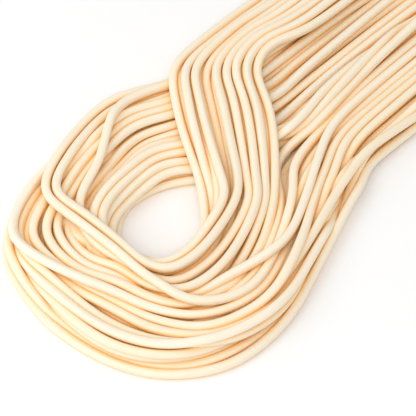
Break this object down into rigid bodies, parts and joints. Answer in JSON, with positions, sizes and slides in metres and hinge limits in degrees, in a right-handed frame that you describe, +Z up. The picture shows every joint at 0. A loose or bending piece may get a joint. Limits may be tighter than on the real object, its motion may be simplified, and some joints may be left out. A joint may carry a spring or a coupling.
{
  "type": "bundle of udon noodles",
  "caption": "Flat bundle of cream semi-dried udon noodles lying in one open loop, with both legs side by side and cut across at their ends.",
  "frame": {"origin": "on the surface that the bundle lies on, under the middle of its bounding box", "axes": "+X from the loop towards the cut ends, +Y towards the leg that crosses over the loop, +Z up"},
  "size_m": [0.2092, 0.1054, 0.0147],
  "materials": {
    "noodle_dough": "smooth matte cream wheat dough, slightly translucent, warmer in the gaps"
  },
  "bodies": {
    "root": {"noodle_bundle": "noodle_dough"}
  },
  "joints": []
}
